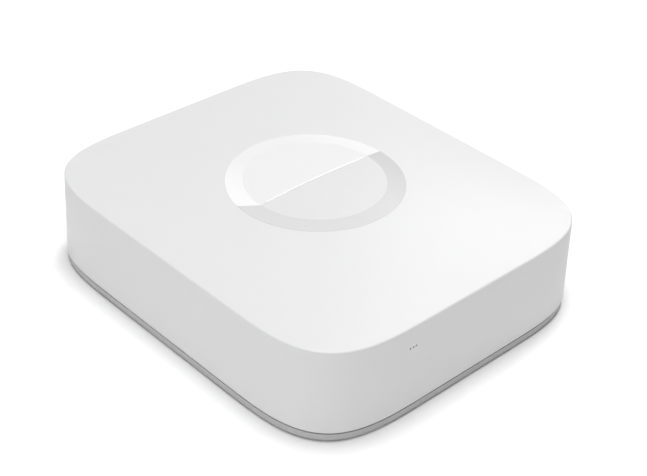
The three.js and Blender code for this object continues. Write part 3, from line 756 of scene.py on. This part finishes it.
def make_cells():
    r, body, length = CELL_RADIUS, CELL_BODY, CELL_LENGTH
    flat_end = [(0, 0.25), (3.8, 0.25), (4.3, 0.05), (r - 0.9, 0), (r - 0.35, 0.12)]
    side = [(r - 0.08, 0.4), (r, 0.8), (r, body - 1.2), (r - 0.12, body - 0.75)]
    shoulder = [(r - 0.5, body - 0.35), (r - 1.1, body - 0.25), (r - 1.3, body - 0.6)]
    nub = [(3.2, body - 0.6), (2.75, body - 0.3), (2.75, length - 0.35), (2.55, length - 0.08),
           (2.2, length), (0, length)]
    profile = flat_end + side + shoulder + nub
    looks = {}
    for k in range(4):
        node = f"battery_cell_{k + 1}"
        low, high = span(node)
        nub_back = k % 2 == 0
        flat, sign = (low[1], 1) if nub_back else (high[1], -1)
        centre = (CELL_XS[k], flat, CELL_Z)
        cell = turned("hub_" + node, profile, centre, axis="Y", flip=not nub_back)
        if nub_back not in looks:
            name = f"cell_wrap_{'back' if nub_back else 'front'}"
            looks[nub_back] = cell_look(name, flat + sign * 0.35, flat + sign * (body - 0.7))
        finish_piece(smooth(cell), "housing", "cell_wrap", looks[nub_back], node)


def contact_spring(k, end, base):
    """The conical spring that presses on a cell's flat end, as points of its wire."""
    share = np.linspace(0, 1, 97)
    angle = share * 6 * math.pi
    radius = 4.2 - 1.8 * share
    y = base + end * (0.2 + 4.9 * share)
    return np.column_stack([CELL_XS[k] + radius * np.cos(angle), y,
                            CELL_Z + radius * np.sin(angle)])


def make_contacts():
    look = surface("spring_steel", (0.58, 0.57, 0.55), 0.26, grain=0.8, depth=0.002, mottle=0.04,
                   wear=0.1, metallic=1.0)
    half, bottom, top = 5.4, 5.2, 17.4
    shy = 0.005  # keeps a tail's faces off its plate's faces
    dome = [(0, -0.1), (2.6, -0.1), (2.2, 0.1), (1.6, 0.26), (0.8, 0.34), (0, 0.36)]
    # For each, the first and last cell that it touches, the way it faces, and its spring's cell.
    plans = {
        "contact_positive": (0, 0, -1, None),
        "contact_negative": (3, 3, -1, 3),
        "contact_link_1": (0, 1, 1, 0),
        "contact_link_2": (1, 2, -1, 1),
        "contact_link_3": (2, 3, 1, 2),
    }
    for node, (first, last, end, spring) in plans.items():
        outer = BAY_FRONT if end > 0 else BAY_BACK
        inner = outer + end * CONTACT_THICK
        near, far = sorted((outer, inner))
        plate = box_body("hub_" + node, (CELL_XS[first] - half, near, bottom),
                         (CELL_XS[last] + half, far, top), 0.12)
        extra = []
        if first == last:
            x = CELL_XS[first]
            extra.append(box_body("tail", (x - 1, near + shy, top - 0.5),
                                  (x + 1, far - shy, top + 3.5), 0.08))
        if spring is not None:
            extra.append(tube("spring", contact_spring(spring, end, inner), radius=0.35))
        combine(plate, extra, "UNION")
        for k in range(first, last + 1):
            if k != spring:
                place = (CELL_XS[k], inner, CELL_Z)
                combine(plate, [turned("dome", dome, place, axis="Y", flip=end < 0, sides=32)],
                        "UNION")
        finish_piece(smooth(plate), "housing", "spring_steel", look.material, node)


# ---------------------------------------------------------------- board, chips and shields


def board_look():
    """Green solder mask over copper tracks that run in broken lines."""
    look = surface("board_laminate", (0.014, 0.10, 0.045), 0.3, grain=0.5, depth=0.004, mottle=0.1,
                   wear=0.3)
    bricks = {"Vector": look.place, "Scale": 1 / (4.5 * MM), "Mortar Size": 0.035,
              "Mortar Smooth": 0.4, "Brick Width": 0.9, "Row Height": 0.35}
    tracks = look.node("ShaderNodeTexBrick", bricks).outputs["Fac"]
    patches = look.remap(look.noise(7.0), 0.46, 0.5, 0, 1)
    shown = look.times(tracks, patches)
    look.into("Base Color", look.mix(shown, look.linked("Base Color"), rgb((0.05, 0.22, 0.09))))
    look.bump(shown, 0.02)
    return look.material


def make_chips():
    chip = surface("chip_resin", 0.022, 0.5, grain=0.12, depth=0.006, mottle=0.05,
                   wear=0.3).material
    dimple = [(0, -0.12), (0.4, -0.1), (0.55, 0), (0.7, PAST), (0, PAST)]
    pin_one = {  # where each has its dimple
        "processor": (-6.2, -18.2),
        "memory_chip": (20.9, -19.6),
        "flash_chip": (-30.6, -20.1),
    }
    for node, place in pin_one.items():
        mark = turned("dimple", dimple, (*place, span(node)[1][2]), sides=24)
        soften(node, "housing", "chip_resin", chip, edge=0.12, trim=[mark])
    soften("ethernet_magnetics", "housing", "chip_resin", chip, edge=0.12)
    soften("power_inductor", "housing", "chip_resin", chip, edge=0.4)


def make_capacitors(alloy):
    for k in (1, 2):
        node = f"capacitor_{k}"
        x, y = middle_of(node)[:2]
        low, high = span(node)
        base, top = low[2], high[2]
        profile = [(0, base + 0.5), (2.95, base + 0.5), (3.15, base + 0.7), (3.15, base + 1.6),
                   (2.95, base + 1.8), (2.95, base + 2.0), (3.15, base + 2.2), (3.15, top - 0.35),
                   (3.05, top - 0.1), (2.8, top), (2.55, top - 0.06), (0, top - 0.06)]
        can = turned("hub_" + node, profile, (x, y, 0))
        foot = box_body("foot", (x - 3.3, y - 3.3, base), (x + 3.3, y + 3.3, base + 1), 0.35)
        combine(can, [foot], "UNION")
        finish_piece(smooth(can), "housing", "aluminium_plain", alloy, node)


def make_board():
    soften("main_board", "housing", "board_laminate", board_look(), edge=0.06, segments=1)
    make_chips()
    soften("thermal_pad", "housing", "rubber", bpy.data.materials["rubber"], edge=0.1)
    alloy = surface("aluminium_plain", (0.62, 0.63, 0.64), 0.38, grain=0.25, depth=0.006,
                    mottle=0.04, wear=0.15, metallic=1.0).material
    soften("heat_spreader", "housing", "aluminium_plain", alloy, edge=0.14)
    make_capacitors(alloy)
    steel = surface("shield_steel", (0.60, 0.60, 0.59), 0.3, grain=0.6, depth=0.003, mottle=0.05,
                    wear=0.12, metallic=1.0).material
    soften("clock_crystal", "housing", "shield_steel", steel, edge=0.35, segments=3)
    for side in ("left", "right"):
        soften(f"radio_shield_{side}", "housing", "shield_steel", steel, edge=0.13)


def make_antennas():
    gold = surface("contact_metal", (0.72, 0.52, 0.22), 0.24, grain=0.5, depth=0.002, mottle=0.05,
                   wear=0.15, metallic=1.0).material
    sheath = surface("coax_jacket", 0.03, 0.45, grain=0.3, depth=0.01, mottle=0.08,
                     wear=0.2).material
    plug_x, plug_y = 40, 23.5
    for name, side in (("left", -1), ("right", 1)):
        soften(f"antenna_{name}", "housing", "contact_metal", gold, edge=0.08)
        top = span(f"coax_{name}")[1][2]
        route = [(plug_x, plug_y, top - 0.5), (42.5, 24.2, top - 0.3), (46, 24, top - 0.5),
                 (48.6, 21, top - 2.3), (49.7, 16, 19.5), (49.9, 11, 18)]
        curve = through_points(np.array(route) * [side, 1, 1], 61)
        lead = tube(f"hub_coax_{name}", curve, 0.55, 14)
        base = top - 1.85
        profile = [(0, base), (1.3, base), (1.3, top - 0.75), (1.15, top - 0.6), (1.15, top - 0.45),
                   (1.3, top - 0.3), (1.3, top - 0.12), (1.18, top), (0, top)]
        plug = turned("plug", profile, (side * plug_x, plug_y, 0), sides=32)
        combine(lead, [plug], "UNION")
        finish_piece(smooth(lead), "housing", "coax_jacket", sheath, f"coax_{name}")


# ---------------------------------------------------------------- sockets, switch and indicator


def make_sockets():
    steel = bpy.data.materials["shield_steel"]
    gold = bpy.data.materials["contact_metal"]
    black = surface("black_plastic", 0.02, 0.42, grain=0.2, depth=0.006, mottle=0.05,
                    wear=0.4).material
    soften("ethernet_shield", "housing", "shield_steel", steel, edge=0.12)
    soften("ethernet_socket", "housing", "black_plastic", black, edge=0.15)
    soften("ethernet_contacts", "housing", "contact_metal", gold, edge=0.06, segments=1)
    soften("usb_shield", "housing", "shield_steel", steel, edge=0.14)
    for level in ("lower", "upper"):
        soften(f"usb_tongue_{level}", "housing", "black_plastic", black, edge=0.15)
        soften(f"usb_contacts_{level}", "housing", "contact_metal", gold, edge=0.04, segments=1)
    make_power_socket(black, gold)
    make_reset(black)


def make_power_socket(black, gold):
    """A block with a round bore, and the centre pin that stands in it."""
    low, high = span("power_socket")
    floor, mouth, r, bore_z = low[1] + 4, high[1], 3.2, 15.2
    body = box_body("hub_power_socket", low, high, 0.3)
    profile = [(0, floor), (r - 0.2, floor), (r, floor + 0.2), (r, mouth - 0.5),
               (r + 0.35, mouth - 0.1), (r + 0.5, mouth + PAST), (0, mouth + PAST)]
    centre = ((low + high)[0] / 2, 0, bore_z)
    bore = turned("bore", profile, centre, axis="Y")
    profile = [(0, floor - 2), (1.3, floor - 2), (1.3, floor + 1), (0, floor + 1)]
    hole = turned("hole", profile, centre, axis="Y")
    combine(body, [bore, hole], "DIFFERENCE")
    finish_piece(smooth(body), "housing", "black_plastic", black, "power_socket")

    low, high = span("power_pin")
    base, tip = low[1], high[1]
    profile = [(0, base), (0.85, base), (1, base + 0.15), (1, tip - 0.9), (0.93, tip - 0.5),
               (0.75, tip - 0.18), (0.45, tip - 0.03), (0, tip)]
    pin = turned("hub_power_pin", profile, centre, axis="Y", sides=40)
    finish_piece(smooth(pin), "housing", "contact_metal", gold, "power_pin")


def make_reset(black):
    soften("reset_switch", "housing", "black_plastic", black, edge=0.15)
    low, high = span("reset_button")
    base, tip = low[1], high[1]
    profile = [(0, base), (0.8, base), (0.9, base + 0.1), (0.9, tip - 0.3), (0.84, tip - 0.12),
               (0.7, tip - 0.03), (0.45, tip - 0.02), (0.3, tip - 0.1), (0, tip - 0.13)]
    x, _, z = (low + high) / 2
    button = turned("hub_reset_button", profile, (x, 0, z), axis="Y", sides=40)
    red = surface("button_red", (0.45, 0.02, 0.015), 0.35, grain=0.15, depth=0.004, mottle=0.03,
                  wear=0.2)
    finish_piece(smooth(button), "reset_key", "button_red", red.material, "reset_button")


def make_indicator():
    light = surface("light_emitter", (0.9, 0.8, 0.5), 0.3, grain=0.2, depth=0.003, mottle=0.04,
                    wear=0.0)
    soften("status_led", "housing", "light_emitter", light.material, edge=0.12)
    clear = surface("clear_plastic", (0.82, 0.85, 0.86), 0.12, grain=0.5, depth=0.002, mottle=0.01,
                    wear=0.05)
    clear.into("Transmission Weight", 0.35)
    clear.into("IOR", 1.49)

    low, high = span("light_pipe")
    x, tip = (low + high)[0] / 2, low[1]
    wall = tip + 1.2
    plate_back, arm_low = -52.3, 22.5  # a plate behind the wall, and an arm back from it
    body = box_body("hub_light_pipe", (low[0], wall + 0.3, low[2]),
                    (high[0], plate_back, high[2]), 0.15)
    shy = 0.01  # keeps the arm's faces off the plate's faces
    extra = [box_body("arm", (low[0] + shy, plate_back - 0.5, arm_low),
                      (high[0] - shy, high[1], high[2] - shy), 0.15)]
    profile = [(0, tip), (0.1, tip + 0.01), (0.17, tip + 0.05), (0.2, tip + 0.12),
               (0.2, wall + 0.8), (0, wall + 0.8)]
    for k in (-1, 0, 1):
        extra.append(turned("pin", profile, (x + k * PIN_PITCH, 0, PIN_Z), axis="Y", sides=16))
    combine(body, extra, "UNION")
    finish_piece(smooth(body), "housing", "clear_plastic", clear.material, "light_pipe")


# ---------------------------------------------------------------- screws, chassis and pad


def screw(name, place, head, head_height, shank, length, down):
    """A pan head screw with a cross recess. Plain rings stand for its thread."""
    sign = -1 if down else 1
    profile = [(0, -length), (shank * 0.4, -length), (shank * 0.75, -length + 0.7)]
    z = -length + 0.7
    while z < -0.9:
        profile += [(shank * 0.8, z + 0.05), (shank, z + 0.25), (shank * 0.8, z + 0.45)]
        z += 0.5
    profile += [(shank, -0.3), (shank, 0), (head - 0.1, 0), (head, 0.1), (head, head_height * 0.45),
                (head * 0.96, head_height * 0.68), (head * 0.84, head_height * 0.88),
                (head * 0.62, head_height * 0.98), (0, head_height)]
    obj = turned(name, [(r, sign * h) for r, h in profile], place, sides=48)

    deep, above = sorted((sign * head_height * 0.4, sign * (head_height + PAST)))
    x, y, z = place
    blades = []
    for wide, thin in ((head * 0.52, 0.28), (0.28, head * 0.52)):
        blades.append(box_body("blade", (x - wide, y - thin, z + deep),
                               (x + wide, y + thin, z + above)))
    combine(blades[0], [blades[1]], "UNION")
    combine(obj, [blades[0]], "DIFFERENCE")
    return smooth(obj)


def make_screws():
    look = surface("screw_steel", (0.42, 0.43, 0.44), 0.28, grain=0.3, depth=0.003, mottle=0.06,
                   wear=0.2, metallic=1.0)
    kinds = (  # head radius and height, shank radius and length, and whether the head is below
        ("chassis", (2.6, 1.8, 1.15, 9.5), True),
        ("board", (2.3, 1.5, 0.95, 8), False),
    )
    for kind, sizes, down in kinds:
        for k in range(1, 5):
            node = f"{kind}_screw_{k}"
            low, high = span(node)
            x, y = middle_of(node)[:2]
            under = low[2] + sizes[1] if down else high[2] - sizes[1]
            made = screw("hub_" + node, (x, y, under), *sizes, down)
            finish_piece(made, "housing", "screw_steel", look.material, node)


def make_chassis():
    look = surface("chassis_plastic", 0.62, 0.5, grain=0.22, depth=0.01, mottle=0.012, wear=0.05)
    soften("chassis", "housing", "chassis_plastic", look.material, edge=0.2)
    foam = surface("foam", 0.05, 0.95, grain=0.5, depth=0.12, mottle=0.2, wear=0.1)
    soften("battery_pad", "battery_cover", "foam", foam.material, edge=0.35, segments=3)


# ---------------------------------------------------------------- stage, light and camera

FLOOR_GLOW = 0.01  # under and near the hub
BACKDROP_GLOW = 0.4  # lifts the far floor and the bend, which little light reaches


def make_floor():
    """A pale floor that sweeps up all round, far behind the hub, into a low bright backdrop."""
    turns = full_turn(96)
    bend = [(1900 + 400 * math.sin(t), 400 - 400 * math.cos(t))
            for t in np.radians(np.linspace(0, 90, 13))]
    profile = [(200, 0), (500, 0), (1000, 0), (1500, 0), *bend, (2300, 700), (2300, 1000)]
    points = [(0, 0, 0)]
    for radius, z in profile:
        points += [(x, y, z) for x, y in circle(radius, turns)]
    count = len(turns)
    faces = [(0, 1 + k, 1 + (k + 1) % count) for k in range(count)]
    for level in range(len(profile) - 1):
        low = 1 + level * count
        for k in range(count):
            after = (k + 1) % count
            faces.append((low + k, low + count + k, low + count + after, low + after))
    floor = mesh_object("floor", points, faces)
    floor.data.shade_smooth()

    look = Look("floor_pale")
    look.into("Roughness", 0.9)
    look.into("Specular IOR Level", 0.0)
    look.into("Base Color", look.mix(look.noise(400.0), rgb(0.96), rgb(0.97)))
    look.into("Emission Color", (1, 1, 1, 1))
    away = look.node("ShaderNodeVectorMath", {"Vector": look.place}, operation="LENGTH")
    glow = look.remap(away.outputs["Value"], 0.4, 1.5, FLOOR_GLOW, BACKDROP_GLOW)
    fade = look.remap(look.along("Z"), 0.3, 0.45, 1, 0)
    look.into("Emission Strength", look.times(glow, fade))
    look.material.cycles.emission_sampling = "NONE"
    floor.data.materials.append(look.material)


def area_light(name, place, size, watts, aim=(0, 0, 0)):
    """A rectangular lamp. Place, size and aim are in metres."""
    data = bpy.data.lights.new(name, "AREA")
    data.shape = "RECTANGLE"
    data.size, data.size_y = size
    data.energy = watts
    light = bpy.data.objects.new(name, data)
    light.location = place
    direction = Vector(aim) - Vector(place)
    light.rotation_euler = direction.to_track_quat("-Z", "Y").to_euler()
    light.visible_camera = False
    bpy.context.scene.collection.objects.link(light)


def studio_place(round_from_front, height, away=1.1):
    """A lamp's place from its angles, round to the hub's right and above the floor, in degrees.

    The distance from the hub is in metres.
    """
    turn, rise = math.radians(round_from_front), math.radians(height)
    level = away * math.cos(rise)
    return level * math.sin(turn), -level * math.cos(turn), away * math.sin(rise)


def make_light():
    world = bpy.data.worlds.new("studio")
    world.use_nodes = True
    background = world.node_tree.nodes["Background"]
    background.inputs["Color"].default_value = (1, 1, 1, 1)
    background.inputs["Strength"].default_value = 0.005
    bpy.context.scene.world = world
    area_light("overhead", studio_place(0, 90), size=(0.5, 0.5), watts=10.6)
    area_light("front", studio_place(-58, 40, 0.6), size=(0.3, 0.3), watts=0.55)
    area_light("sheen", studio_place(112, 40), size=(0.4, 0.4), watts=3.3)
    area_light("low_left", (-0.55, -0.04, 0.03), size=(0.7, 0.05), watts=0.3, aim=(0, -0.02, 0.025))
    bpy.context.scene.view_settings.view_transform = "Standard"


def make_camera():
    """A camera to the front left and above, turned a little about its line of sight."""
    azimuth, elevation, roll = (math.radians(a) for a in (-44.23, 34.54, 2.47))
    distance = 0.43194  # metres
    aim = Vector((0.01169, 0.00778, 0.003))
    level = math.cos(elevation)
    back = Vector((math.sin(azimuth) * level, -math.cos(azimuth) * level, math.sin(elevation)))
    level_right = Vector((math.cos(azimuth), math.sin(azimuth), 0))
    level_up = back.cross(level_right)
    right = level_right * math.cos(roll) + level_up * math.sin(roll)
    up = back.cross(right)
    data = bpy.data.cameras.new("camera")
    data.sensor_width = 36
    data.lens = 80
    camera = bpy.data.objects.new("camera", data)
    axes = Matrix((right, up, back)).transposed().to_4x4()
    camera.matrix_world = Matrix.Translation(aim + back * distance) @ axes
    bpy.context.scene.collection.objects.link(camera)
    bpy.context.scene.camera = camera


make_camera()
make_light()
make_floor()
make_shell()
make_badge()
make_cover()
make_feet()
make_cells()
make_contacts()
make_board()
make_antennas()
make_sockets()
make_indicator()
make_screws()
make_chassis()
bpy.context.view_layer.update()
